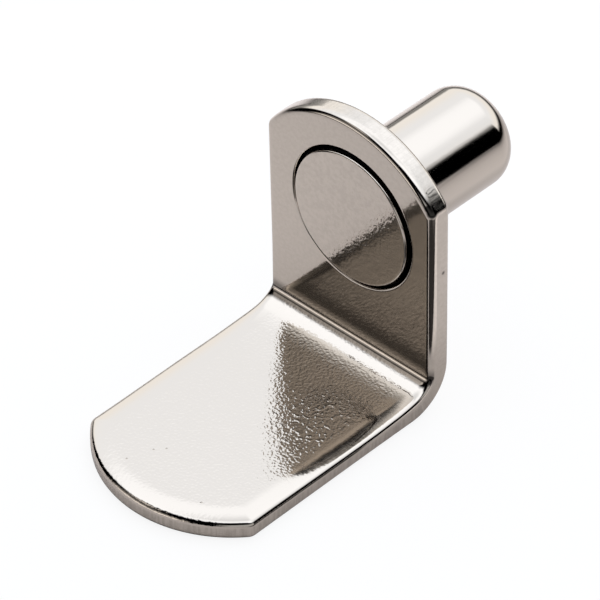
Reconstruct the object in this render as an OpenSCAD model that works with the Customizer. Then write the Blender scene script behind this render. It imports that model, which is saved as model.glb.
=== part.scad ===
// Shelf support pin: an L-shaped bracket stamped and bent from steel strip, with
// a headed steel pin pressed through its leg. The shelf lies on the tongue, and
// the pin goes into a hole in the cabinet side.
//
// Millimetres, +Z up. The origin is where the pin's axis meets the leg's back
// face, which lies against the cabinet side. +Y runs along the pin, into the
// cabinet, and +X runs across the strip.

/* [Strip] */
// Width of the strip at its two cut ends
strip_w = 10; // [9:0.1:12]
// Draw-in of each side edge where the strip is bent
neck = 0.08; // [0.02:0.01:0.3]
// Thickness of the strip
sheet_t = 1.2; // [1:0.05:1.6]
// Radius that the punch rolls on the edges of the face that carries the shelf
roll_r = 0.5; // [0.2:0.02:0.52]
// Radius left on the edges of the other face
back_r = 0.14; // [0.05:0.01:0.3]
// Inside radius of the bend
bend_r = 1.1; // [0.6:0.05:2]

/* [Leg and tongue] */
// Height of the leg's tip above the pin's axis
leg_top = 5.15; // [4.8:0.05:8]
// Height of the leg's curved end above its two corners
leg_rise = 2.45; // [1.2:0.05:3]
// Radius that rounds the leg's two corners
leg_corner_r = 0.9; // [0.55:0.05:1.2]
// Depth of the tongue's underside below the pin's axis
leg_drop = 8.5; // [7.5:0.1:14]
// Reach of the tongue's tip from the leg's back face
tongue_reach = 14.85; // [10:0.05:22]
// Length of the tongue's curved end past its two corners
tongue_rise = 2.4; // [1.2:0.05:3]
// Radius that rounds the tongue's two corners
tongue_corner_r = 0.55; // [0.55:0.05:1.2]

/* [Pin] */
// Diameter of the pin, which suits the hole in the cabinet side
pin_d = 5; // [4:0.05:6]
// Length of the pin that stands out of the leg's back face
pin_l = 7.6; // [5:0.1:12]
// Radius that rounds the pin's tip
tip_r = 1.35; // [0.5:0.05:1.9]
// Diameter of the head
head_d = 6.7; // [6.4:0.05:7.8]
// Height of the head's face above the leg's front face
head_proud = 0.1; // [0.05:0.05:0.6]
// Radius that rounds the edge of the head
head_edge_r = 0.3; // [0.05:0.01:0.35]

/* [Seat] */
// Depth of the head's seat in the leg
seat_depth = 0.4; // [0.3:0.05:0.7]
// Gap all round between the head and the wall of its seat
seat_gap = 0.2; // [0.1:0.01:0.35]
// Radius that rounds the mouth of the seat
seat_lip_r = 0.1; // [0.02:0.01:0.2]
// Extra diameter of the land that grips the hole in the leg
land_extra = 0.4; // [0.35:0.05:0.6]
// Gap all round between the land and its hole
land_gap = 0.01; // [0.005:0.005:0.03]

/* [Hidden] */
$fn = 96;

// Margin by which a cut passes the face that it opens
over = 1;
// Step by which the bend and the corner discs stand in from the edges of the
// plates, so that no two faces all but coincide
set_in = 0.01;

// The bend's outside radius, and the plates' lengths from where it ends
bend_out_r = bend_r + sheet_t;
leg_l = leg_drop - bend_out_r + leg_top;
tongue_l = tongue_reach - bend_out_r;
neck_w = strip_w - 2 * neck;

// The head's seat, and the land behind it
seat_d = head_d + 2 * seat_gap;
land_d = pin_d + land_extra;
land_l = sheet_t - seat_depth;
head_h = head_proud + seat_depth;

steel = [0.70, 0.66, 0.62];

// Quarter of a disc, in the corner between +X and -Y.
module quarter(r) {
    intersection() {
        circle(r = r);
        translate([0, -r]) square(r);
    }
}

// Section through one edge of the strip: from x = 0 out to x = w, with the rolled
// face at y = 0 and the other face at y = sheet_t.
module edge_section(w) {
    square([w - roll_r, sheet_t]);
    translate([0, roll_r]) {
        square([w - back_r, sheet_t - roll_r]);
        square([w, sheet_t - roll_r - back_r]);
    }
    translate([w - roll_r, roll_r]) quarter(roll_r);
    translate([w - back_r, sheet_t - back_r]) mirror([0, 1]) quarter(back_r);
}

// Disc of strip with a rolled rim, whose axis runs along +Y.
module rolled_disc(r) {
    rotate([-90, 0, 0]) rotate_extrude() edge_section(r);
}

// Slab that runs from a plate's +X side edge past its middle. The edge leans out
// by the given angle, from the width at the bend.
module side_slab(plate_l, lean) {
    translate([neck_w / 2, 0, 0]) rotate([0, lean, 0]) translate([-strip_w, 0, -over])
        linear_extrude(plate_l + 2 * over) edge_section(strip_w);
}

// Flat plate that rises from the origin along +Z, with its rolled face at y = 0
// and its other face at y = sheet_t. Its end is an arc that stands end_rise above
// the corners. A disc rounds each corner: it touches the leaning side and the arc,
// whose centre is at height end_z.
module plate(plate_l, end_rise, corner_r) {
    end_r = (pow(strip_w / 2, 2) + pow(end_rise, 2)) / (2 * end_rise);
    lean = atan(neck / (plate_l - end_rise));
    end_z = plate_l - end_r;
    disc_reach = end_r - corner_r;
    side_x = neck_w / 2 - corner_r / cos(lean) + end_z * tan(lean);
    rise = cos(lean) * (sqrt(pow(disc_reach, 2) - pow(side_x * cos(lean), 2))
        - side_x * sin(lean));
    corner = [side_x + rise * tan(lean), 0, end_z + rise];
    turn = lean + atan2(rise, corner[0]);

    difference() {
        intersection() {
            side_slab(plate_l, lean);
            mirror([1, 0, 0]) side_slab(plate_l, lean);
            union() {
                translate([0, 0, end_z]) rolled_disc(end_r);
                translate([-strip_w, 0, end_z - plate_l]) cube([2 * strip_w, sheet_t, plate_l]);
            }
            translate([-strip_w, 0, 0]) cube([2 * strip_w, sheet_t, plate_l]);
        }
        for (s = [0, 1]) mirror([s, 0, 0]) translate(corner) rotate([0, lean, 0])
            corner_wedge(turn);
    }
    for (s = [0, 1]) mirror([s, 0, 0]) translate(corner) rolled_disc(corner_r - set_in);
}

// Wedge of angle a that opens from +X towards +Z, through the thickness.
module corner_wedge(a) {
    translate([0, sheet_t + over, 0]) rotate([90, 0, 0]) linear_extrude(sheet_t + 2 * over)
        polygon([
            [0, 0],
            [strip_w, 0],
            [strip_w, strip_w * tan(a)],
            [strip_w * cos(a), strip_w * sin(a)]
        ]);
}

// Quarter bend that joins the leg, above it, to the tongue, in front of it. Its
// axis runs across the strip.
module bend() {
    translate([0, -bend_out_r, bend_out_r - leg_drop]) rotate([-90, 0, 90])
        rotate_extrude(angle = 90) translate([bend_r, 0]) mirror([1, -1])
            for (s = [0, 1]) mirror([s, 0]) edge_section(neck_w / 2 - set_in);
}

// Cut for the head's seat, with a rounded mouth, and for the land's hole.
module seat_cut() {
    mouth = seat_d / 2 + seat_lip_r;
    translate([0, -sheet_t, 0]) rotate([-90, 0, 0]) {
        rotate_extrude() {
            translate([0, -over]) square([seat_d / 2, over + seat_depth]);
            difference() {
                translate([0, -over]) square([mouth, over + seat_lip_r]);
                translate([mouth, seat_lip_r]) circle(r = seat_lip_r);
            }
        }
        cylinder(d = land_d + 2 * land_gap, h = sheet_t + over);
    }
}

// The bracket: leg, bend and tongue in one strip.
module bracket() color(steel) difference() {
    union() {
        translate([0, -sheet_t, bend_out_r - leg_drop]) plate(leg_l, leg_rise, leg_corner_r);
        bend();
        translate([0, -bend_out_r, sheet_t - leg_drop]) rotate([90, 0, 0])
            mirror([0, 1, 0]) plate(tongue_l, tongue_rise, tongue_corner_r);
    }
    seat_cut();
}

// The pin: head, land and shank turned as one piece.
module pin() color(steel) rotate([-90, 0, 0]) rotate_extrude() {
    translate([0, -land_l - head_h]) rounded_disc_section(head_d / 2, head_h, head_edge_r);
    translate([0, -land_l]) square([land_d / 2, land_l]);
    translate([0, pin_l]) mirror([0, 1]) rounded_disc_section(pin_d / 2, pin_l, tip_r);
}

// Half section of a disc whose edge at y = 0 is rounded.
module rounded_disc_section(r, h, edge_r) {
    square([r - edge_r, h]);
    translate([0, edge_r]) square([r, h - edge_r]);
    translate([r - edge_r, edge_r]) quarter(edge_r);
}

bracket();
pin();
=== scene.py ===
# %% [markdown]
# # Shelf support pin
# A shelf support pin is a small bracket that holds up the end of a cabinet shelf.
# A steel strip is punched out, bent to an L and fitted with a turned steel pin,
# and both are plated with nickel. The pin goes into a hole in the cabinet side
# and the shelf lies on the flat tongue. This lesson dresses the packed CAD model
# of it: the camera and the studio come first, then the bent strip, the turned
# pin and their bright plating. The first cell loads the packed model and keeps
# its box, from which the camera takes its aim.

# %% Load the packed model
import math
import bmesh
import bpy
from mathutils import Matrix, Vector
from mathutils.geometry import tessellate_polygon


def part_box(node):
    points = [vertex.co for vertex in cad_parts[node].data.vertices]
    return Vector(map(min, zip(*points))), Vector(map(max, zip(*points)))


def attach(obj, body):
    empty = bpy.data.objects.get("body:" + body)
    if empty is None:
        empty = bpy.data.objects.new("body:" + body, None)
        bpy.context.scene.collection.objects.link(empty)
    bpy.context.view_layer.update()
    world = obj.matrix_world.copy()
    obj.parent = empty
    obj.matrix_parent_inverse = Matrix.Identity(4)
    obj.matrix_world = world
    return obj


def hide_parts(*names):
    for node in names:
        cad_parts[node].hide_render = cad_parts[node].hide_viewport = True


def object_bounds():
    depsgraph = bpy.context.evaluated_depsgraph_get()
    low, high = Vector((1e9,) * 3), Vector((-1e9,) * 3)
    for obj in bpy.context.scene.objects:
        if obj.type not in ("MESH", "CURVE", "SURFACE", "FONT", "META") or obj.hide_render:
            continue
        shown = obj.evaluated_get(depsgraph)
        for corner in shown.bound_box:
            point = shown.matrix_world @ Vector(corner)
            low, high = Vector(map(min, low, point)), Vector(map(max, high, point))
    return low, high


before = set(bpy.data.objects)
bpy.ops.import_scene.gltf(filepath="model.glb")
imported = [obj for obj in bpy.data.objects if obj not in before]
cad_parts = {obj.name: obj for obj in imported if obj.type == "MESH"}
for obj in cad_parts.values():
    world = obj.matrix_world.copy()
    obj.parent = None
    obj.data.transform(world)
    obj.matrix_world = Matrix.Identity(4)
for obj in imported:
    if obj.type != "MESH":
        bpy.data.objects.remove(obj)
cad_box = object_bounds()
strip_low, strip_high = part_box("bracket")
pin_low, pin_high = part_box("pin")
print("nodes:", sorted(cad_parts), "box:", cad_box)

# %% [markdown]
# ## Measures
# Blender works in metres, and a part of this size is easier to read in
# millimetres, so lengths are written as numbers of mm times MM. The overall
# places come from the packed model's boxes. What a box can't tell is given in
# the cell that needs it. Most of it repeats the part's source. Some of it is what
# a press leaves on a real bracket and a plain solid has no need of: a tongue
# squeezed a little thinner, a leg and a head that stand slightly to one side.

# %% Millimetres
MM = 0.001

for name, low, high in (("strip", strip_low, strip_high), ("pin", pin_low, pin_high)):
    print(name, [round(length / MM, 2) for length in high - low], "mm")

# %% [markdown]
# ## Camera
# The camera looks down at the part from its front right, with a long lens, as a
# catalogue shows such hardware: the sides stay nearly parallel. It aims near the
# middle of the part's box and leans by a little over one degree.

# %% Place the camera
CAMERA_AZIMUTH = math.radians(44.900)
CAMERA_ELEVATION = math.radians(40.185)
CAMERA_LEAN = math.radians(-1.313)
CAMERA_DISTANCE = 197.48 * MM
AIM_OFFSET = Vector((-0.822, 0.207, -2.282)) * MM
FOCAL_LENGTH, SENSOR_WIDTH = 268.42, 36        # both in mm, as the lens wants them

scene = bpy.context.scene
box_low, box_high = (Vector(corner) for corner in cad_box)
aim = (box_low + box_high) / 2 + AIM_OFFSET
towards_camera = Vector((
    math.sin(CAMERA_AZIMUTH) * math.cos(CAMERA_ELEVATION),
    -math.cos(CAMERA_AZIMUTH) * math.cos(CAMERA_ELEVATION),
    math.sin(CAMERA_ELEVATION),
))
level_right = Vector((math.cos(CAMERA_AZIMUTH), math.sin(CAMERA_AZIMUTH), 0))
level_up = towards_camera.cross(level_right)
right = level_right * math.cos(CAMERA_LEAN) + level_up * math.sin(CAMERA_LEAN)
up = towards_camera.cross(right)

lens = bpy.data.cameras.new("camera")
lens.sensor_width = SENSOR_WIDTH
lens.lens = FOCAL_LENGTH
lens.clip_start = 0.01
lens.clip_end = 10
camera = bpy.data.objects.new("camera", lens)
turn = Matrix((right, up, towards_camera)).transposed().to_4x4()
camera.matrix_world = Matrix.Translation(aim + towards_camera * CAMERA_DISTANCE) @ turn
scene.collection.objects.link(camera)
scene.camera = camera
scene.view_settings.view_transform = "Standard"
print("camera at", [round(c / MM, 1) for c in camera.location], "mm")

# %% [markdown]
# ## Node maths as Python
# A shader is a small program made of nodes, and long chains of Math nodes are
# hard to read in a script. Here one class wraps a node's output, and writing
# `a * 2 + b` with such wires adds the Math nodes for it. Every other node comes
# from one method, `Tree.add`, which takes the node's type, its settings and what
# goes into its sockets. The methods after it are the few calls of it that come
# back often, such as a soft step, or a band with two soft edges.

# %% A wire that takes part in expressions, and the tree that adds nodes
class Wire:
    """A node's output. Arithmetic on it adds Math nodes to its tree."""

    def __init__(self, tree, socket):
        self.tree, self.socket = tree, socket

    def also(self, key):
        """Another output of the same node."""
        return Wire(self.tree, self.tree.socket(self.socket.node.outputs, key))

    def __add__(self, other): return self.tree.math("ADD", self, other)
    def __radd__(self, other): return self.tree.math("ADD", other, self)
    def __sub__(self, other): return self.tree.math("SUBTRACT", self, other)
    def __rsub__(self, other): return self.tree.math("SUBTRACT", other, self)
    def __mul__(self, other): return self.tree.math("MULTIPLY", self, other)
    def __rmul__(self, other): return self.tree.math("MULTIPLY", other, self)
    def __truediv__(self, other): return self.tree.math("DIVIDE", self, other)
    def __rtruediv__(self, other): return self.tree.math("DIVIDE", other, self)
    def __neg__(self): return self.tree.math("MULTIPLY", self, -1.0)


class Tree:
    """A node tree, and the few ways in which nodes are added to it."""

    def __init__(self, tree):
        self.tree = tree
        tree.nodes.clear()

    def socket(self, sockets, key):
        """A socket by its number, its identifier or its name."""
        if isinstance(key, int):
            return sockets[key]
        for found in sockets:
            if key == found.identifier:
                return found
        return sockets[key]

    def add(self, kind, settings=None, inputs=None, out=0):
        """Adds a node: its settings first, then its sockets. Returns the wire of one output."""
        node = self.tree.nodes.new(kind)
        for name, value in (settings or {}).items():
            if name == "stops":
                self.set_stops(node.color_ramp, value)
            else:
                setattr(node, name, value)
        for key, value in (inputs or {}).items():
            into = self.socket(node.inputs, key)
            if isinstance(value, Wire):
                self.tree.links.new(value.socket, into)
            else:
                into.default_value = value
        return Wire(self, self.socket(node.outputs, out)) if node.outputs else None

    def set_stops(self, colour_ramp, stops):
        """Sets the stops of a ramp, each a place and a grey value."""
        while len(colour_ramp.elements) < len(stops):
            colour_ramp.elements.new(0.5)
        for element, (place, value) in zip(colour_ramp.elements, stops):
            element.position = place
            element.color = colour(value, value, value)

    def math(self, operation, *values):
        return self.add("ShaderNodeMath", {"operation": operation}, dict(enumerate(values)))

    def vector(self, operation, *values):
        return self.add("ShaderNodeVectorMath", {"operation": operation}, dict(enumerate(values)))

    def scale(self, vector, factor):
        return self.add("ShaderNodeVectorMath", {"operation": "SCALE"},
                        {"Vector": vector, "Scale": factor})

    def distance(self, a, b):
        return self.vector("DISTANCE", a, b).also("Value")

    def split(self, vector):
        """The three numbers of a vector."""
        first = self.add("ShaderNodeSeparateXYZ", None, {0: vector})
        return [first.also(i) for i in range(3)]

    def join(self, x, y, z):
        return self.add("ShaderNodeCombineXYZ", None, {0: x, 1: y, 2: z})

    def mix(self, factor, a, b):
        """Colour b over colour a, by the factor."""
        return self.add("ShaderNodeMix", {"data_type": "RGBA"},
                        {"Factor_Float": factor, "A_Color": a, "B_Color": b}, "Result_Color")

    def smooth(self, value, low, high, to_low=0.0, to_high=1.0):
        """A soft step: to_low below low, to_high above high."""
        return self.add("ShaderNodeMapRange", {"interpolation_type": "SMOOTHSTEP"},
                        {"Value": value, "From Min": low, "From Max": high,
                         "To Min": to_low, "To Max": to_high})

    def band(self, value, low, full, still_full, high):
        """1 between full and still_full, falling softly to 0 at low and at high."""
        return self.smooth(value, low, full) * self.smooth(value, still_full, high, 1, 0)

    def noise(self, vector, scale, detail, roughness):
        return self.add("ShaderNodeTexNoise", None,
                        {"Vector": vector, "Scale": scale, "Detail": detail,
                         "Roughness": roughness})


def colour(r, g, b):
    return (r, g, b, 1.0)


print("tree methods:", [name for name in vars(Tree) if not name.startswith("_")])

# %% [markdown]
# ## Studio
# Polished metal has hardly any colour of its own: it shows what stands round it.
# So it lies on a white table in a tent of white cloth. The cloth is lit from
# above, and the front of the tent is left dark, so that the flat faces get a
# bright side and a dark side. The tent is one large dome here, whose cloth glows
# by direction. It is hidden from the camera, which sees the plain white world
# behind it instead.

# %% The world: plain white
WHITE = colour(1, 1, 1)

scene.world = bpy.data.worlds.new("white")
scene.world.use_nodes = True
world = Tree(scene.world.node_tree)
backdrop = world.add("ShaderNodeBackground", None, {"Color": WHITE, "Strength": 1.0})
world.add("ShaderNodeOutputWorld", None, {"Surface": backdrop})
print("world:", scene.world.name)

# %% [markdown]
# The cloth is described by compass angle and height. For each compass angle one
# ramp gives the height at which the dark skirt of the tent ends, one how soft
# that edge is, one how bright the cloth above it is, and one how much haze still
# lights the skirt. The last ramp goes by height. It is for the front left, where
# the tent is open: a bright strip at table height fades upwards, and a fainter
# patch hangs over it, which the leg and the tongue see by way of each other. A
# low glow on the right keeps the tongue from going black for someone who looks
# from the left. Ramps over an angle are easier to read and change than a dozen
# area lamps and black cards, and they give the same reflections.

# %% Tables of the tent: compass angle or height in degrees, then the value there
SKIRT = [(-180, 8), (-150, 9), (-126, 9), (-90, 15), (-70, 37), (-45, 55), (-28, 60), (0, 60),
         (24, 56), (45, 58), (90, 38), (129, 31), (134, 28), (141, 12), (180, 8)]
SOFT = [(-180, 12), (-150, 10), (-126, 6), (-90, 14), (-45, 16), (0, 12), (90, 10), (115, 14),
        (129, 15), (150, 10), (180, 12)]
GLOW = [(-180, 1.40), (-135, 1.38), (-45, 1.45), (100, 1.45), (126, 1.25), (150, 1.40),
        (180, 1.40)]
HAZE = [(-180, 0.02), (-150, 0.2), (-132, 0.32), (-104, 0.4), (-96, 0.25), (-86, 0), (150, 0),
        (180, 0.02)]
OPENING = [(-4, 0), (-1, 1.35), (5, 1.35), (10, 0.6), (14, 0.45), (20, 0.3), (27, 0.08),
           (34, 0.10), (38, 0.38), (41, 0.57), (43.5, 0.6), (47, 0.95), (51, 0)]
print("tent tables:", [len(table) for table in (SKIRT, SOFT, GLOW, HAZE, OPENING)], "stops")

# %% [markdown]
# The tables become ramps, and the rest is a handful of soft steps. The cloth is
# brightest some way up and fainter overhead, where it sags away from the lamps.
# The opening's right side leans to the left as it rises. Cloth lit by lamps is
# slightly cool, and what comes in through the opening is slightly warm.

# %% The tent's glowing cloth
DEGREE = math.pi / 180
TINY = 0.001                       # keeps dark cloth from dividing by nothing
COOL_CLOTH = colour(0.985, 1.04, 1.13)
WARM_OPENING = colour(1.04, 0.98, 0.94)

tent_look = bpy.data.materials.new("tent_cloth")
tent_look.use_nodes = True
tent_look.cycles.emission_sampling = "NONE"
tent = Tree(tent_look.node_tree)
from_middle = tent.add("ShaderNodeTexCoord", None, None, "Object")
x, y, z = tent.split(tent.vector("NORMALIZE", from_middle))
height = tent.math("ARCSINE", z) / DEGREE
compass = tent.math("ARCTAN2", x, -y) / DEGREE


def ramp(value, low, high, table, most):
    """A curve through a table's points, for a value that runs from low to high."""
    stops = [((at - low) / (high - low), number / most) for at, number in table]
    share = (value - low) / (high - low)
    return tent.add("ShaderNodeValToRGB", {"stops": stops}, {"Fac": share}) * most


skirt = ramp(compass, -180, 180, SKIRT, 90)
soft = ramp(compass, -180, 180, SOFT, 90)
glow = ramp(compass, -180, 180, GLOW, 2)
haze = ramp(compass, -180, 180, HAZE, 1)
above = tent.smooth(height, skirt - soft * 0.5, skirt + soft * 0.5)
overhead = tent.smooth(height, 41, 53, 1.0, 1.18) * tent.smooth(height, 64, 86, 1.0, 0.72)
low_glow = tent.band(compass, 28, 40, 96, 112) * tent.smooth(height, 20, 32, 0.55, 0)
cloth = above * glow * overhead + haze * (1 - above) + low_glow

leaning = compass + tent.smooth(height, 18, 36, 0, 32)
opening = (ramp(height, -10, 60, OPENING, 2) * tent.smooth(compass, -58, -48)
           * tent.smooth(compass, -56, -38, 0.4, 1.0) * tent.smooth(leaning, 2, 14, 1, 0))

strength = cloth + opening
tint = tent.mix(tent.smooth(height, 16, 40), WHITE, COOL_CLOTH)
tint = tent.mix(opening / (strength + TINY), tint, WARM_OPENING)
light = tent.add("ShaderNodeEmission", None, {"Color": tint, "Strength": strength})
tent.add("ShaderNodeOutputMaterial", None, {"Surface": light})
print("tent cloth:", len(tent.tree.nodes), "nodes")

# %% [markdown]
# Nearly every shape here is a stack of rings: the tent, the head's seat and the
# pin are turned, and the strip's edge is a stack of outlines. So three small
# helpers give the points of a circle, the faces between two rings, and the faces
# of a whole stack that closes in a point at each end. A fourth makes the object.

# %% Meshes made of rings
def circle(radius, count, x=0.0, y=0.0):
    """Points of a circle round (x, y), as pairs."""
    angles = [2 * math.pi * i / count for i in range(count)]
    return [(x + radius * math.cos(a), y + radius * math.sin(a)) for a in angles]


def hoop(first, second, count):
    """Faces between two rings, which are given by the numbers of their first points."""
    pairs = [(i, (i + 1) % count) for i in range(count)]
    return [(first + i, second + i, second + n, first + n) for i, n in pairs]


def capped_stack(rings, count):
    """Faces of a closed skin: point 0, then the rings, then one last point."""
    last_ring = 1 + (rings - 1) * count
    top = last_ring + count
    faces = []
    for i in range(count):
        n = (i + 1) % count
        faces += [(0, 1 + i, 1 + n), (top, last_ring + n, last_ring + i)]
    for start in range(1, last_ring, count):
        faces += hoop(start, start + count, count)
    return faces


def mesh_object(name, verts, faces, look=None):
    """A new object from points and faces, shaded smooth, with one material."""
    mesh = bpy.data.meshes.new(name)
    mesh.from_pydata(verts, [], faces)
    mesh.validate()
    mesh.polygons.foreach_set("use_smooth", [True] * len(mesh.polygons))
    if look:
        mesh.materials.append(look)
    thing = bpy.data.objects.new(name, mesh)
    scene.collection.objects.link(thing)
    return thing


print("ring of 4:", [(round(x, 1), round(y, 1)) for x, y in circle(1, 4)])

# %% [markdown]
# The dome itself is a plain ball of rings. It casts no shadow and the camera
# doesn't see it, so only the metal and the table know that it is there.

# %% The tent
TENT_R = 450 * MM
AROUND_TENT, TENT_ROWS = 64, 32

lifts = [math.pi * j / TENT_ROWS - math.pi / 2 for j in range(1, TENT_ROWS)]
verts = [(0, 0, -TENT_R)]
for lift in lifts:
    ring = circle(TENT_R * math.cos(lift), AROUND_TENT)
    verts += [(x, y, TENT_R * math.sin(lift)) for x, y in ring]
verts.append((0, 0, TENT_R))
tent_object = mesh_object("studio_tent", verts, capped_stack(len(lifts), AROUND_TENT), tent_look)
tent_object.visible_camera = False
tent_object.visible_shadow = False
print("tent:", len(tent_object.data.polygons), "faces")

# %% [markdown]
# The table is a pale disc just under the tongue, the lowest thing on the part.
# The metal sees it lit by the tent, with the part's own shadow on it, and with
# painted light and shade in its colour: a painted pool of light that is fainter
# further off, a painted dark patch to the right of the part, which gives its
# polished edges a dark line, and some patches painted lighter. Dark patch and
# lighter patches are written in one way. Each limit of a patch is a soft edge:
# the patch lies where `x * a + y * b`, in millimetres, has passed from one number
# to another.

# %% Painted light and dark on the table
POOL_CENTRE, POOL_R = (-15, 20, 0), 70    # in mm: brightest place of the painted pool of light, and where half is left
POOL_LEVEL = 0.86
# a painted dark patch on the table: painted shade that the polished edges reflect as a dark line
PAINTED_DARK = [(1, 0.2, 4.65, 5.25), (0.8, -1, 9.1, 10.5), (-1, 0, -30, -16), (0, 1, -22, -12)]
PAINTED_DARK_DEPTH = 0.95
# patches of the table painted lighter, as painted light: how much, then their limits
LIGHTER = [
    (0.34, [(-1, 0, 3, 16), (0, 1, -4, 6)]),         # behind the leg, on the left
    (0.35, [(0, -1, 14, 40), (-1, 0, -10, 5)]),      # in front, on the left
    (0.22, [(1, 0, 4, 9), (0, 1, -1, 4)]),           # under the pin, on the right
    (0.50, [(0.8, -1, 3.8, 5), (1, 0, 8, 10)]),      # along the painted dark patch's edge
    (0.20, [(0, -1, -1, 6), (-1, 0, -10, -2)]),      # round the tongue
]

table_look = bpy.data.materials.new("table_top")
table_look.use_nodes = True
table = Tree(table_look.node_tree)
where = table.add("ShaderNodeTexCoord", None, None, "Object")
flat_mm = table.vector("MULTIPLY", where, (1000, 1000, 0))


def limit(a, b, low, high):
    """0 where x * a + y * b is low, and 1 where it is high."""
    return table.smooth(table.vector("DOT_PRODUCT", flat_mm, (a, b, 0)).also("Value"), low, high)


def patch(limits):
    """1 inside a patch of the table, 0 outside it."""
    return math.prod(limit(*numbers) for numbers in limits)


lighter = sum(patch(limits) * gain for gain, limits in LIGHTER)
far = table.distance(flat_mm, POOL_CENTRE) / POOL_R
# painted light in the table's colour: a pool that fades off, lighter patches, and the painted
# dark patch
pool = (POOL_LEVEL + lighter) / (1 + far * far) * (1 - patch(PAINTED_DARK) * PAINTED_DARK_DEPTH)
print("light on the table:", len(table.tree.nodes), "nodes")

# %% [markdown]
# The camera sees the same table nearly burnt out to white, as on a catalogue
# page, and a faint part of the shadow is kept. From below the camera looks
# straight through it, so that the part's underside can be seen.

# %% The table
TABLE_R = 440 * MM
TABLE_GAP = 0.02 * MM              # keeps the table clear of the tongue's underside
TABLE_POINTS = 96
TABLE_TONE = (0.84, 0.77, 0.73)
SHADOW_KEPT = 0.12

# what the metal sees: the table's tone times the painted light and shade
lit = table.add("ShaderNodeBsdfDiffuse", None, {"Color": table.scale(TABLE_TONE, pool)})
plain = table.add("ShaderNodeBsdfDiffuse", None, {"Color": WHITE})
white = table.add("ShaderNodeEmission", None, {"Color": WHITE, "Strength": 1.0})
from_above = table.add("ShaderNodeMixShader", None, {0: SHADOW_KEPT, 1: white, 2: plain})
from_below = table.add("ShaderNodeBsdfTransparent")
below = table.add("ShaderNodeNewGeometry", None, None, "Backfacing")
seen = table.add("ShaderNodeMixShader", None, {0: below, 1: from_above, 2: from_below})
is_camera = table.add("ShaderNodeLightPath", None, None, "Is Camera Ray")
shown = table.add("ShaderNodeMixShader", None, {0: is_camera, 1: lit, 2: seen})
table.add("ShaderNodeOutputMaterial", None, {"Surface": shown})

table_z = strip_low.z - TABLE_GAP
rim = [(x, y, table_z) for x, y in circle(TABLE_R, TABLE_POINTS)]
table_object = mesh_object("table", rim, [tuple(range(TABLE_POINTS))], table_look)
print("table at z = %.2f mm" % (table_z / MM))

# %% [markdown]
# ## The path of the bend
# The face that carries the shelf runs along a path: along the tongue, round the
# bend and up the leg. The bend isn't one arc. The tongue lifts very slightly
# over its last millimetres, and the strip then turns ever more tightly into the
# leg. So the path is a chain of arcs, each a length and a turn, and a step along
# it moves a little and turns a little. The far face keeps its own plain round,
# so each point of the path also says how thick the strip is there.

# %% Path of the shelf's face
SHEET = 1.2 * MM                   # thickness of the strip
THIN = 0.1 * MM                    # what the press takes off the tongue's thickness
OUTER_R = 2.3 * MM                 # radius of the bend's far face
# Arcs of the bend, from the tongue on: length in mm, turn in degrees, rows of points.
BEND = [(2.4, 2.2, 6), (0.9, 5, 6), (0.953, 32.8, 14), (0.19, 25, 8), (0.11, 25, 8)]
FINE = 8                           # steps of the path to a row
LEVEL = 1e-6                       # a heading this close to an axis counts as along it
UP_LEG = 8                         # points from the path's last arc to the top of the bend

shelf_z = strip_low.z + SHEET - THIN
leg_y = strip_high.y - SHEET
axis_y, axis_z = strip_high.y - OUTER_R, strip_low.z + OUTER_R


def walk(y, z):
    """Points of the bend from a start: place along it, y, z and heading."""
    along, heading, points = 0.0, 0.0, [(0.0, y, z, 0.0)]
    for arc_l, arc_turn, rows in BEND:
        step = arc_l * MM / (rows * FINE)
        half_turn = math.radians(arc_turn) / (rows * FINE) / 2
        for _ in range(rows * FINE):
            heading += half_turn
            y, z, along = y + step * math.cos(heading), z + step * math.sin(heading), along + step
            heading += half_turn
            points.append((along, y, z, heading))
    return points


def thickness(y, z, heading):
    """Distance from the shelf's face, square to it, to the far face."""
    down_y, down_z = math.sin(heading), -math.cos(heading)
    if down_z < -LEVEL:
        reach = (strip_low.z - z) / down_z
        if y + reach * down_y <= axis_y:
            return reach
    if down_y > LEVEL:
        reach = (strip_high.y - y) / down_y
        if z + reach * down_z >= axis_z:
            return reach
    b = (y - axis_y) * down_y + (z - axis_z) * down_z
    c = (y - axis_y) ** 2 + (z - axis_z) ** 2 - OUTER_R ** 2
    return -b + math.sqrt(b * b - c)


bend_start = leg_y - walk(0, 0)[-1][1]
bend_l, _, bend_top, _ = walk(bend_start, shelf_z)[-1]
tongue_l = bend_start - strip_low.y
leg_l = strip_high.z - bend_top
bend_end = tongue_l + bend_l                # along the flat strip, from the tongue's tip
pin_along = bend_end + leg_l - strip_high.z

track = [(strip_low.y, shelf_z, 0.0)]
track += [(y, z, heading) for _, y, z, heading in walk(bend_start, shelf_z)]
track += [(leg_y, bend_top + (axis_z - bend_top) * i / UP_LEG, math.pi / 2)
          for i in range(1, UP_LEG + 1)]
track.append((leg_y, strip_high.z, math.pi / 2))
line = bpy.data.curves.new("shelf_face_path", "CURVE")
line.dimensions = "3D"
spline = line.splines.new("POLY")
spline.points.add(len(track) - 1)
for point, (y, z, heading) in zip(spline.points, track):
    point.co = (0, y, z, 1)
    point.radius = thickness(y, z, heading) / SHEET
path = bpy.data.objects.new("shelf_face_path", line)
scene.collection.objects.link(path)
print("tongue %.2f, bend %.2f, leg %.2f mm" % (tongue_l / MM, bend_l / MM, leg_l / MM))

# %% [markdown]
# ## The strip, still flat
# The real bracket starts as a flat blank: a straight strip whose two ends are
# cut to an arc, with small round corners. The punch drags the upper edge down
# into a roll, and leaves the lower edge nearly square. The mesh is built in the
# same way. One function gives the outline at any inset, and the edge of the
# sheet is a stack of such outlines: each step down the roll is the same outline
# a little further out and lower. A bevel modifier would need the corners guessed
# right, while this keeps every loop in order and every radius exact.
#
# The flat strip lies in X and Y, with the shelf's face at z = 0 and the strip's
# thickness below it. Y runs along the strip from the tongue's tip: the tongue,
# then the length that will be bent, then the leg.

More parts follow.
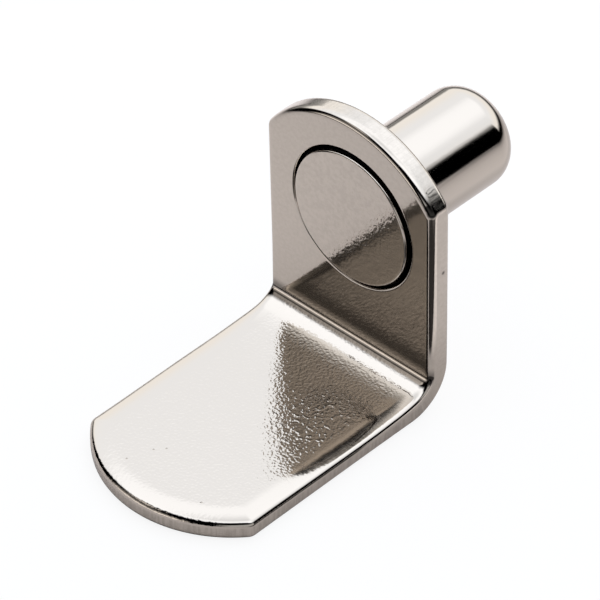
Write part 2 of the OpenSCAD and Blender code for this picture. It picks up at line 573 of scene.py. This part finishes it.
# %% Outline of one end at any inset
HALF_WIDTH = 5.0 * MM              # half the strip's width at its ends
NECK = 0.03 * MM                   # draw-in of each side at the bend
TONGUE_RISE = 2.4 * MM             # how far the tongue's curved end passes its corners
TONGUE_CORNER = 0.55 * MM
LEG_RISE = 2.6 * MM
LEG_CORNER = 0.6 * MM
ARC_POINTS, CORNER_POINTS, SIDE_POINTS = 26, 10, 14
LEAST_R = 0.25 * MM                # an inset corner never gets tighter than this
CROWDING = 1.3                     # above 1, a side's points crowd towards the bend


def end_outline(length, rise, corner_r, inset):
    """Half of one end of the strip, from its tip to the bend, as (x, v): v runs outwards."""
    arc_r = (HALF_WIDTH ** 2 + rise ** 2) / (2 * rise)
    arc_v = length - arc_r
    slope = NECK / (length - rise)
    lean = math.atan(slope)
    disc = max(corner_r - inset, LEAST_R)
    side = HALF_WIDTH - NECK - (inset + disc) / math.cos(lean) + slope * arc_v
    reach = arc_r - inset - disc
    root = math.sqrt((side * slope) ** 2 - (1 + slope ** 2) * (side ** 2 - reach ** 2))
    over = (root - side * slope) / (1 + slope ** 2)
    disc_x, disc_v = side + slope * over, arc_v + over
    meet = math.atan2(over, disc_x)
    points = [(0.0, length - inset)]
    for i in range(1, ARC_POINTS):
        a = math.pi / 2 + (meet - math.pi / 2) * i / ARC_POINTS
        points.append(((arc_r - inset) * math.cos(a), arc_v + (arc_r - inset) * math.sin(a)))
    for i in range(CORNER_POINTS + 1):
        a = meet + (-lean - meet) * i / CORNER_POINTS
        points.append((disc_x + disc * math.cos(a), disc_v + disc * math.sin(a)))
    x1, v1 = points[-1]
    x0 = HALF_WIDTH - NECK - inset / math.cos(lean)
    for i in range(1, SIDE_POINTS):
        t = (1 - i / SIDE_POINTS) ** CROWDING
        points.append((x0 + (x1 - x0) * t, v1 * t))
    return points


print("each end:", len(end_outline(leg_l, LEG_RISE, LEG_CORNER, 0)), "points to a half")

# %% [markdown]
# Two outlines, one for the tongue and one for the leg, are joined by the rows of
# the bend. Bending squeezes the metal on the inside of the bend, so the upper
# edge bulges out there, and along the tongue's sides for some way. The bulge
# fades towards the tip and down the edge.

# %% Half of one loop round the blank
BULGE = 0.14 * MM                  # how far the inner edge is squeezed out
BULGE_L = 7 * MM                   # how far along the tongue
BULGE_DEEP = 0.7 * MM              # how far down the edge
BULGE_SIDE = 3 * MM                # the bulge is whole from here outwards


def squeezed(from_bend, depth):
    """How far the upper edge stands out, by distance from the bend along the strip."""
    near = min(1.0, max(0.0, 1 - from_bend / BULGE_L))
    return BULGE * near * near * (3 - 2 * near) * max(0.0, 1 - depth / BULGE_DEEP)


bend_rows = [along for along, _, _, _ in walk(0, 0)[::FINE]]


def half_outline(tongue_step, leg_step):
    """The +X half of one loop, from the tongue's tip to the leg's, as (x, y, z)."""
    (inset, depth), (leg_inset, leg_depth) = tongue_step, leg_step
    loop = [(x + squeezed(v, depth) * min(1.0, x / BULGE_SIDE), tongue_l - v, -depth)
            for x, v in end_outline(tongue_l, TONGUE_RISE, TONGUE_CORNER, inset)]
    for along in bend_rows:
        share = along / bend_l
        bulge = squeezed(0, depth) * (1 - share ** 4)
        loop.append((HALF_WIDTH - NECK + bulge - inset - (leg_inset - inset) * share ** 2,
                     tongue_l + along, -depth - (leg_depth - depth) * share ** 2))
    loop += [(x, bend_end + v, -leg_depth)
             for x, v in end_outline(leg_l, LEG_RISE, LEG_CORNER, leg_inset)[::-1]]
    return loop


print("bend:", len(bend_rows), "rows")

# %% [markdown]
# The edge of the sheet from one face to the other is a short list of steps, each
# an inset and a depth: down the roll, which is a chain of arcs like the bend's,
# down the wall, and round the far face's edge. A narrow extra loop on both flat
# faces, right beside the roll, keeps the smooth shading of the roll from spilling
# on to the flat, which would bend its reflections. The tongue's roll is wider
# than the leg's, so each has its own steps, and the loops pass from one to the
# other in the bend.

# %% Steps of the edge, from the shelf's face to the other face
GUARD = 0.05 * MM                  # width of the extra loops
TONGUE_ROLL = [(0.80, 19), (0.20, 29), (0.26, 42)]         # arcs from the face: mm, degrees
LEG_ROLL = [(0.20, 33), (0.22, 42), (0.16, 15)]
TONGUE_BACK, LEG_BACK = 0.3 * MM, 0.25 * MM                # round of the far face's edge
ROUND_STEPS = 5                                            # steps to an arc or a round


def edge_steps(roll, back_r):
    """Inset and depth of each loop: a chain of arcs, the wall, and the far face's round."""
    down, out, depth, arc = 0.0, 0.0, 0.0, []
    for arc_l, arc_turn in roll:
        step, half_turn = arc_l * MM / ROUND_STEPS, math.radians(arc_turn) / ROUND_STEPS / 2
        for _ in range(ROUND_STEPS):
            down += half_turn
            out, depth = out + step * math.cos(down), depth + step * math.sin(down)
            down += half_turn
            arc.append((out, depth))
    steps = [(out + GUARD, 0.0), (out, 0.0)] + [(out - x, z) for x, z in arc]
    steps += [(0.0, depth + GUARD), (0.0, SHEET - back_r - GUARD / 2)]
    for i in range(ROUND_STEPS + 1):
        a = math.pi / 2 * i / ROUND_STEPS
        steps.append((back_r * (1 - math.cos(a)), SHEET - back_r * (1 - math.sin(a))))
    return steps + [(back_r + GUARD, SHEET)]


steps = list(zip(edge_steps(TONGUE_ROLL, TONGUE_BACK), edge_steps(LEG_ROLL, LEG_BACK)))
WALL = range(len(steps) - 10, len(steps) - 3)    # the sheared wall, with a little of both rounds
HALF = len(half_outline(*steps[0]))
LOOP = 2 * (HALF - 1)
print("edge:", len(steps), "loops of", LOOP, "points")

# %% [markdown]
# The loops give the skin of the edge. A point attribute called edge marks the
# wall that the punch sheared, which the plating will leave rougher. The press
# has left the leg slightly to one side, so the finished loops are shifted from
# the bend upwards.

# %% Edge of the flat blank
LEG_SHIFT = 0.05 * MM              # the leg stands this far to the right of the tongue
LEG_SLIM = 0.006                   # and is narrower by this share

verts, faces, edge_mask = [], [], []
for number, step in enumerate(steps):
    right_half = half_outline(*step)
    verts += right_half + [(-x, y, z) for x, y, z in right_half[-2:0:-1]]
    edge_mask += [1.0 if number in WALL else 0.0] * LOOP
for k in range(len(steps) - 1):
    faces += hoop(k * LOOP, (k + 1) * LOOP, LOOP)


def set_leg(x, y, z):
    """Moves the leg a little to the right and makes it a hair narrower than the tongue."""
    share = min(1.0, max(0.0, (y - tongue_l - bend_l / 2) / bend_l))
    return (x * (1 - LEG_SLIM * share) + LEG_SHIFT * share, y, z)


verts = [set_leg(*vert) for vert in verts]
print("edge skin:", len(verts), "points,", len(faces), "faces")

# %% [markdown]
# The seat is turned: a profile goes once round the pin's axis, through the seat's
# rounded lip, its wall, its floor and the hole behind it. The seat was sunk a
# little to the right of the hole, so the two have their own middles.

# %% Seat of the head, and the hole behind it
SEAT_DEPTH = 0.4 * MM
SEAT_R = 3.55 * MM
SEAT_LIP = 0.1 * MM                # round of the seat's mouth
SEAT_OFF = 0.28 * MM               # how far the seat sits to the right of the pin's axis
HOLE_R = 2.71 * MM                 # hole behind the seat, which the pin's land fills
SEAT_POINTS = 144
LIP_STEPS = 6
CHAMFER = 0.06 * MM                # small slant where two faces meet
LIP_TOP = 0.04 * MM                # above this the lip is as smooth as the face
SEAT_ROUGH = 0.5                   # half as rough as a sheared wall

seat_steps = [(SEAT_R + SEAT_LIP + GUARD, 0.0)]
for i in range(LIP_STEPS + 1):
    a = math.pi / 2 * i / LIP_STEPS
    seat_steps.append((SEAT_R + SEAT_LIP * (1 - math.sin(a)), SEAT_LIP * (1 - math.cos(a))))
seat_steps += [(SEAT_R, SEAT_DEPTH - CHAMFER), (SEAT_R - CHAMFER, SEAT_DEPTH)]
hole_steps = [(HOLE_R + CHAMFER, SEAT_DEPTH), (HOLE_R, SEAT_DEPTH + CHAMFER),
              (HOLE_R, SHEET - CHAMFER), (HOLE_R + CHAMFER, SHEET),
              (HOLE_R + CHAMFER + GUARD, SHEET)]

turned_steps = [(SEAT_OFF, *step) for step in seat_steps] + [(0.0, *step) for step in hole_steps]
seat_start = len(verts)
for shift, radius, depth in turned_steps:
    verts += [(x, y, -depth) for x, y in circle(radius, SEAT_POINTS, shift, pin_along)]
    edge_mask += [SEAT_ROUGH if depth > LIP_TOP else 0.0] * SEAT_POINTS
hole_end = len(verts) - SEAT_POINTS
for start in range(seat_start, hole_end, SEAT_POINTS):
    faces += hoop(start, start + SEAT_POINTS, SEAT_POINTS)
print("seat:", len(turned_steps), "rings of", SEAT_POINTS, "points")

# %% [markdown]
# The flat faces inside the last loops are filled with rungs from side to side,
# like a ladder, so that they will follow the bend. Where the leg takes the pin,
# the rungs stop, and the space between them and the round seat is filled with
# triangles.

# %% Flat faces of the blank
CLEAR = 0.4 * MM                   # how far the rungs keep from the bend and the seat


def fill_face(first, hole):
    """Fills the face inside the loop that starts at first, round the ring at hole."""
    def rung(i):
        return first + i, first + (LOOP - i) % LOOP

    along = [verts[first + i][1] for i in range(HALF)]
    low_end = max(i for i in range(HALF) if along[i] < bend_end + CLEAR)
    high_end = min(i for i in range(HALF) if along[i] > pin_along + SEAT_R + CLEAR)
    for i in list(range(low_end)) + list(range(high_end, HALF - 1)):
        (a, b), (c, d) = rung(i), rung(i + 1)
        corners = [a, c, d, b]
        faces.append(tuple(v for k, v in enumerate(corners) if v not in corners[:k]))
    outer = [rung(i)[0] for i in range(low_end, high_end + 1)]
    outer += [rung(i)[1] for i in range(high_end, low_end - 1, -1)]
    inner = [hole + i for i in range(SEAT_POINTS)]
    polygons = [[Vector(verts[v]) for v in ring] for ring in (outer, inner)]
    both = outer + inner
    faces.extend(tuple(both[v] for v in triangle) for triangle in tessellate_polygon(polygons))


def face_outwards(thing):
    """Turns every face outwards, and says how many edges lack a second face."""
    shape = bmesh.new()
    shape.from_mesh(thing.data)
    bmesh.ops.recalc_face_normals(shape, faces=shape.faces)
    open_edges = sum(not e.is_manifold for e in shape.edges)
    volume = shape.calc_volume()
    shape.to_mesh(thing.data)
    shape.free()
    print("%s: %d faces, %d open edges, %.1f mm3"
          % (thing.name, len(thing.data.polygons), open_edges, volume / MM ** 3))


fill_face(0, seat_start)
fill_face((len(steps) - 1) * LOOP, hole_end)

blank = mesh_object("bracket_plated", verts, faces)
mask = blank.data.attributes.new("edge", "FLOAT", "POINT")
mask.data.foreach_set("value", edge_mask)
face_outwards(blank)

# %% [markdown]
# ## The bend
# On the press, the blank is bent once, square. A bend is a rule for every point
# of the strip, so a small tree of Geometry Nodes does it: it looks up the point
# of the path that lies as far along as the point of the blank, and goes down
# from there, square to the path, by the point's own depth. The tree also stores
# each point's place on the flat blank, so that the plating's grain can follow
# the strip round the bend. The result is turned into a plain mesh, which is what
# the export takes.

# %% Bend the strip with Geometry Nodes
bend_tree = bpy.data.node_groups.new("bend_strip", "GeometryNodeTree")
bend_tree.is_modifier = True
bend_tree.interface.new_socket("Geometry", in_out="INPUT", socket_type="NodeSocketGeometry")
bend_sockets = {}
for name, kind in (("Path", "Object"), ("Finish", "Material")):
    item = bend_tree.interface.new_socket(name, in_out="INPUT", socket_type="NodeSocket" + kind)
    bend_sockets[name] = item.identifier
bend_tree.interface.new_socket("Geometry", in_out="OUTPUT", socket_type="NodeSocketGeometry")

bend = Tree(bend_tree)
flat = bend.add("NodeGroupInput")
place = bend.add("GeometryNodeInputPosition")
x, y, z = bend.split(place)
curve = bend.add("GeometryNodeObjectInfo", {"transform_space": "ORIGINAL"},
                 {"Object": flat.also(bend_sockets["Path"])}, "Geometry")
thick = bend.add("GeometryNodeInputRadius")
found = bend.add("GeometryNodeSampleCurve", {"mode": "LENGTH", "data_type": "FLOAT"},
                 {"Curves": curve, "Value": thick, "Length": y}, "Value")
_, ahead_y, ahead_z = bend.split(found.also("Tangent"))
inwards = bend.join(0.0, -ahead_z, ahead_y)
raised = bend.scale(inwards, z * found)
bent = bend.vector("ADD", bend.vector("ADD", found.also("Position"), raised),
                   bend.join(x, 0.0, 0.0))
kept = bend.add("GeometryNodeStoreNamedAttribute",
                {"data_type": "FLOAT_VECTOR", "domain": "POINT"},
                {"Geometry": flat, "Name": "blank", "Value": place})
moved = bend.add("GeometryNodeSetPosition", None, {"Geometry": kept, "Position": bent})
real = bend.add("GeometryNodeRealizeInstances", None, {"Geometry": moved})
coated = bend.add("GeometryNodeSetMaterial", None,
                  {"Geometry": real, "Material": flat.also(bend_sockets["Finish"])})
bend.add("NodeGroupOutput", None, {0: coated})
print("bend tree:", len(bend_tree.nodes), "nodes")

# %% [markdown]
# ## Nickel plating
# The parts are tumbled and then plated with bright nickel, a slightly warm white
# metal. Both pieces share it: one colour, with faint clouds in it on the leg and
# the head, and a height that is fed to a Bump node in millimetres. Dark marks,
# and painted shade in the recesses and creases, are mixed in as near black.

# %% What the two platings share
TO_MM = (1000, 1000, 1000)
NICKEL = (0.60, 0.55, 0.49)
# near black, for the dark marks and for the painted shade in recesses and creases
MARK_AND_SHADE_BLACK = colour(0.01, 0.01, 0.01)
BLACKEST = 0.94                    # how much a mark or painted shade covers at most
ROUGHNESS = 0.07
CLOUDS_PER_MM = 5.0


def nickel(share):
    """The plating's colour, darker or lighter by a share."""
    return colour(*(c * share for c in NICKEL))


def plating(name):
    """A new material, and its tree."""
    look = bpy.data.materials.new(name)
    look.use_nodes = True
    return look, Tree(look.node_tree)


def clouded(tree, in_mm, on, even, light, dark):
    """Nickel with faint clouds where on is 1, and one even mix of the two tones elsewhere."""
    clouds = tree.smooth(tree.noise(in_mm, CLOUDS_PER_MM, 3.0, 0.7), 0.35, 0.65)
    return tree.mix(clouds * on + (1 - on) * even, nickel(light), nickel(dark))


def finish_plating(tree, base, roughness, height):
    """Ends a plating: a metal with its roughness and its height as bump."""
    bump = tree.add("ShaderNodeBump", None,
                    {"Strength": 1.0, "Distance": MM, "Height": height})
    metal = tree.add("ShaderNodeBsdfPrincipled", None,
                     {"Base Color": base, "Metallic": 1.0, "Roughness": roughness,
                      "Normal": bump})
    tree.add("ShaderNodeOutputMaterial", None, {"Surface": metal})


print("nickel:", NICKEL)

# %% [markdown]
# The plating follows the steel under it, so the strip's faces have a fine, soft
# unevenness like orange peel. On the tongue it is strong enough to break the
# edge of a reflection into grains. Near the bend, on the right, the press has
# stretched the steel into coarser specks. The grain stops short of the rolls.
# The punched edges have fine streaks across the sheet, where the punch sheared
# it, and there the colour is worn darker too. Everything is placed on the flat
# blank, in millimetres: x across, y along from the tongue's tip, z = 0 the
# shelf's face.

# %% Skin of the strip
SKIN, GRAIN, GRAINS_PER_MM = 0.0007, 0.0075, 7.5     # heights in mm, and how fine they are
WAVES, WAVES_PER_MM = 0.003, 1.6
SPECKS, SPECKS_PER_MM = 0.0075, 5.2
STREAKS, STREAKS_PER_MM = 0.0008, (7, 7, 0.6)        # fine along the wall, long down it
PIT = 0.01
PITS = [(-1.81, 1.51, 0), (-1.37, 2.72, 0), (-1.0, 3.15, 0), (2.57, 1.74, 0)]

strip_look, strip = plating("nickel_strip")
on_blank = strip.add("ShaderNodeAttribute", {"attribute_name": "blank"}, None, "Vector")
in_mm = strip.vector("MULTIPLY", on_blank, TO_MM)
edge = strip.add("ShaderNodeAttribute", {"attribute_name": "edge"}, None, "Fac")
x, y, z = strip.split(in_mm)
crease_y, pin_y = bend_end / MM, pin_along / MM    # the bend's upper end, and the pin's axis
on_tongue = strip.smooth(y, crease_y - 1.0, crease_y, 1.0, 0.0)


def spots(places, radius, soft_edge):
    """Soft round marks at places on the blank, in millimetres."""
    return sum(strip.smooth(strip.distance(in_mm, spot), radius, radius + soft_edge, 1, 0)
               for spot in places)


grainy = on_tongue * strip.smooth(strip.math("ABSOLUTE", x), 3.7, 4.15, 1.0, 0.1)
stretched = spots([(2.6, tongue_l / MM - 0.6, 0)], 1.2, 2.0)
specks = (strip.smooth(strip.noise(in_mm, SPECKS_PER_MM, 1.0, 0.4), 0.5, 0.75)
          * grainy * stretched)
streak_place = strip.vector("MULTIPLY", in_mm, STREAKS_PER_MM)
streaks = strip.smooth(strip.noise(streak_place, 1.0, 3.0, 0.6), 0.35, 0.65)
pits = spots(PITS, 0.02, 0.06)
skin = (strip.noise(in_mm, GRAINS_PER_MM, 1.0, 0.4) * (SKIN + grainy * GRAIN)
        + strip.noise(in_mm, WAVES_PER_MM, 1.0, 0.4) * WAVES
        + specks * SPECKS + streaks * edge * (1 + on_tongue) * STREAKS - pits * PIT)
print("skin:", len(strip.tree.nodes), "nodes")

# %% [markdown]
# The marks are dark. Some are painted shade: the recess round the head, the
# crease where the bend meets the leg, the folds at both ends of the bend, and a
# dark line low on the tongue's wall, where it stands over the table. The others
# come from the press: a black corner at the leg's right shoulder with a few dots
# and short ticks in the sheared wall above it, a nick in the leg's right wall, and
# the pits' mouths.

# %% Marks and painted shade on the strip
FOLD_X = 4.95                      # the folds lie this far out on both sides, in mm
TICKS = 24                         # how close the ticks stand, in radians per mm
DOTS = [(4.37, 3.39), (4.51, 3.26), (4.65, 3.12), (4.79, 2.95)]     # x, y above the axis

from_seat = strip.distance(strip.join(x, y, 0.0), (SEAT_OFF / MM, pin_y, 0))
# painted shade in the recess round the head, on the seat's wall
recess_shade = strip.band(z, -0.6, -0.5, -0.14, -0.07) * strip.smooth(from_seat, 3.7, 3.8, 1, 0)

off_crease = y - crease_y
# painted shade along the crease: a thin dark line, and a softer band at its foot
thin_line = strip.smooth(strip.math("ABSOLUTE", off_crease), 0.02, 0.09, 1, 0)
foot = strip.band(off_crease, -0.05, 0.03, 0.1, 0.6) * 0.6
crease_shade = strip.math("MAXIMUM", thin_line, foot) * strip.smooth(z, -0.3, -0.2)
# painted shade in the folds at both ends of the bend
fold_shade = spots([(side * FOLD_X, crease_y - 0.1, 0) for side in (1, -1)], 0.15, 0.15)
# painted shade low on the tongue's wall, where it stands over the table
low_wall_shade = strip.band(z, -1.2, -1.19, -1.04, -0.96) * on_tongue

corner = (spots([(4.84, pin_y + 2.62, -0.22)], 0.16, 0.12)
          + spots([(4.68, pin_y + 2.86, -0.14)], 0.08, 0.12))
dots = spots([(across, pin_y + above_axis, -0.41) for across, above_axis in DOTS], 0.02, 0.06)
slanting = (x - y) * TICKS + strip.noise(in_mm, 3.0, 1.0, 0.5) * 7
ticks = (strip.smooth(strip.math("SINE", slanting), 0.1, 0.7) * edge
         * spots([(4.45, pin_y + 3.25, -0.65)], 0.15, 0.2))
nick = spots([(4.95, pin_y - 0.92, -0.77)], 0.05, 0.1)

# press marks and painted shade together, as one darkening
marks_and_shade = (recess_shade + crease_shade + fold_shade + corner + dots + low_wall_shade * 0.6 + ticks * 0.5 + pits * 0.4
         + nick * 0.8)
worn = edge * streaks * (0.1 + on_tongue * 0.3)
plate = strip.mix(worn, clouded(strip, in_mm, 1 - on_tongue, 0.5, 1.03, 0.96), nickel(0.5))
tone = strip.mix(strip.math("MINIMUM", marks_and_shade, BLACKEST), plate, MARK_AND_SHADE_BLACK)
finish_plating(strip, tone, ROUGHNESS + edge * (0.03 + streaks * 0.08), skin)
print("plating:", strip_look.name, len(strip.tree.nodes), "nodes")

# %% [markdown]
# The bend is run now that the plating is there for it to set.

# %% Run the bend
bender = blank.modifiers.new("bend", "NODES")
bender.node_group = bend_tree
bender[bend_sockets["Path"]] = path
bender[bend_sockets["Finish"]] = strip_look
bpy.context.view_layer.update()
bent_mesh = bpy.data.meshes.new_from_object(
    blank.evaluated_get(bpy.context.evaluated_depsgraph_get()))
blank.modifiers.remove(bender)
blank.data = bent_mesh
bpy.data.objects.remove(path)
bracket = blank
low = [min(v.co[i] for v in bracket.data.vertices) / MM for i in range(3)]
high = [max(v.co[i] for v in bracket.data.vertices) / MM for i in range(3)]
print("bracket from", [round(c, 2) for c in low], "to", [round(c, 2) for c in high], "mm")

# %% [markdown]
# ## The pin
# The pin is turned from bar in one piece: a flat head that lies in the seat, a
# land that is pressed into the hole, and the shank that goes into the cabinet,
# with a rounded tip. So it is made as on a lathe: a profile of radius and place
# along the axis, swept once round. The head has its own part of the profile, as
# it stands a little to one side of the shank and a little low.

# %% Profiles of the head and of the rest, as radius and place along the axis
HEAD_OFF, HEAD_DROP = 0.23 * MM, 0.04 * MM       # from the pin's axis
HEAD_EDGE = 0.1 * MM               # round of the head's edge
LAND_R = 2.7 * MM
SHANK_R = 2.46 * MM
TIP_R = 1.35 * MM                  # round of the shank's tip
SLANT = 0.05 * MM                  # small slant at the seat's floor, on head and land
LAND_EDGE = 0.04 * MM              # the same at the land's other end
SHANK_ROOT = 0.03 * MM             # and where the shank leaves the land
ROWS_FROM, SHANK_ROWS = 0.1 * MM, 12
HEAD_MIDDLE, TIP_MIDDLE = 0.8 * MM, 0.4 * MM     # radii of the innermost rings

head_r = pin_high.x
seat_floor = -SHEET + SEAT_DEPTH
shank_end = pin_high.y - TIP_R


def rounded(centre_r, centre_y, radius, start, end, count):
    """Points of a round in the profile, between two angles in degrees."""
    angles = [math.radians(start + (end - start) * i / count) for i in range(count + 1)]
    return [(centre_r + radius * math.cos(a), centre_y + radius * math.sin(a)) for a in angles]


head_profile = [(HEAD_MIDDLE, pin_low.y), (head_r - HEAD_EDGE - GUARD, pin_low.y)]
head_profile += rounded(head_r - HEAD_EDGE, pin_low.y + HEAD_EDGE, HEAD_EDGE, -90, 0, 10)
head_profile += [(head_r, seat_floor - SLANT), (head_r - SLANT, seat_floor)]
shank_profile = [(LAND_R + SLANT, seat_floor), (LAND_R, seat_floor + SLANT),
                 (LAND_R, -LAND_EDGE), (LAND_R - LAND_EDGE, 0.0),
                 (SHANK_R + SHANK_ROOT, 0.0), (SHANK_R, SHANK_ROOT)]
shank_profile += [(SHANK_R, ROWS_FROM + (shank_end - GUARD - ROWS_FROM) * i / SHANK_ROWS)
                  for i in range(SHANK_ROWS + 1)]
shank_profile += rounded(SHANK_R - TIP_R, shank_end, TIP_R, 0, 90, 24)
shank_profile += [(SHANK_R - TIP_R - GUARD, pin_high.y), (TIP_MIDDLE, pin_high.y)]
print("pin profile:", len(head_profile), "and", len(shank_profile), "points")

# %% [markdown]
# The plating is the strip's, with the head's own grain, which is what breaks up
# the edge of the tongue's reflection in it. The shank has faint lines along it,
# as it was drawn through a die, and the head's rim is darkened with painted shade
# where it lies below the leg's face.

# %% Plating of the pin
HEAD_GRAIN, HEAD_GRAINS_PER_MM = 0.0042, 6.5         # heights in mm, and how fine they are
SHANK_WAVES, SHANK_WAVES_PER_MM = 0.0012, 3.0
DRAWN, DRAWN_PER_MM = 0.0016, (8, 0.7, 8)            # fine round the shank, long down it

pin_look, turned = plating("nickel_pin")
where = turned.add("ShaderNodeTexCoord", None, None, "Object")
in_mm = turned.vector("MULTIPLY", where, TO_MM)
_, y, _ = turned.split(in_mm)
on_head = turned.smooth(y, -1.0, -0.8, 1.0, 0.0)
# painted shade on the head's rim, in the gap below the leg's face
recess_shade = turned.band(y, -1.17, -1.08, -0.5, -0.4)
head_skin = turned.noise(in_mm, HEAD_GRAINS_PER_MM, 1.0, 0.5) * HEAD_GRAIN
drawn = turned.noise(turned.vector("MULTIPLY", in_mm, DRAWN_PER_MM), 1.0, 2.0, 0.5) * DRAWN
shank_skin = turned.noise(in_mm, SHANK_WAVES_PER_MM, 2.0, 0.5) * SHANK_WAVES + drawn
tone = turned.mix(recess_shade * BLACKEST, clouded(turned, in_mm, on_head, 0.6, 1.06, 0.96), MARK_AND_SHADE_BLACK)
finish_plating(turned, tone, ROUGHNESS + on_head * 0.02,
               head_skin * on_head + shank_skin * (1 - on_head))
print("plating:", pin_look.name, len(turned.tree.nodes), "nodes")

# %% [markdown]
# The two profiles give one stack of rings. The head's rings go round their own
# middle, and the turned mesh closes in one point at each end.

# %% Turn the pin
AROUND_PIN = 192

rings = [(circle(radius, AROUND_PIN, HEAD_OFF, -HEAD_DROP), y) for radius, y in head_profile]
rings += [(circle(radius, AROUND_PIN), y) for radius, y in shank_profile]
verts = [(HEAD_OFF, pin_low.y, -HEAD_DROP)]
verts += [(x, y, z) for ring, y in rings for x, z in ring]
verts.append((0, pin_high.y, 0))
pin = mesh_object("pin_plated", verts, capped_stack(len(rings), AROUND_PIN), pin_look)
face_outwards(pin)

# %% [markdown]
# ## Hand over to the frame
# Each dressed piece stands for its CAD node and rides on the one body of the part.
# The CAD nodes stay in the file for collision and get the same plating.

# %% Tie the pieces to the model
for piece, node, look in ((bracket, "bracket", strip_look), (pin, "pin", pin_look)):
    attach(piece, "root")
    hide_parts(node)
    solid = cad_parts[node]
    solid.data.materials.clear()
    solid.data.materials.append(look)
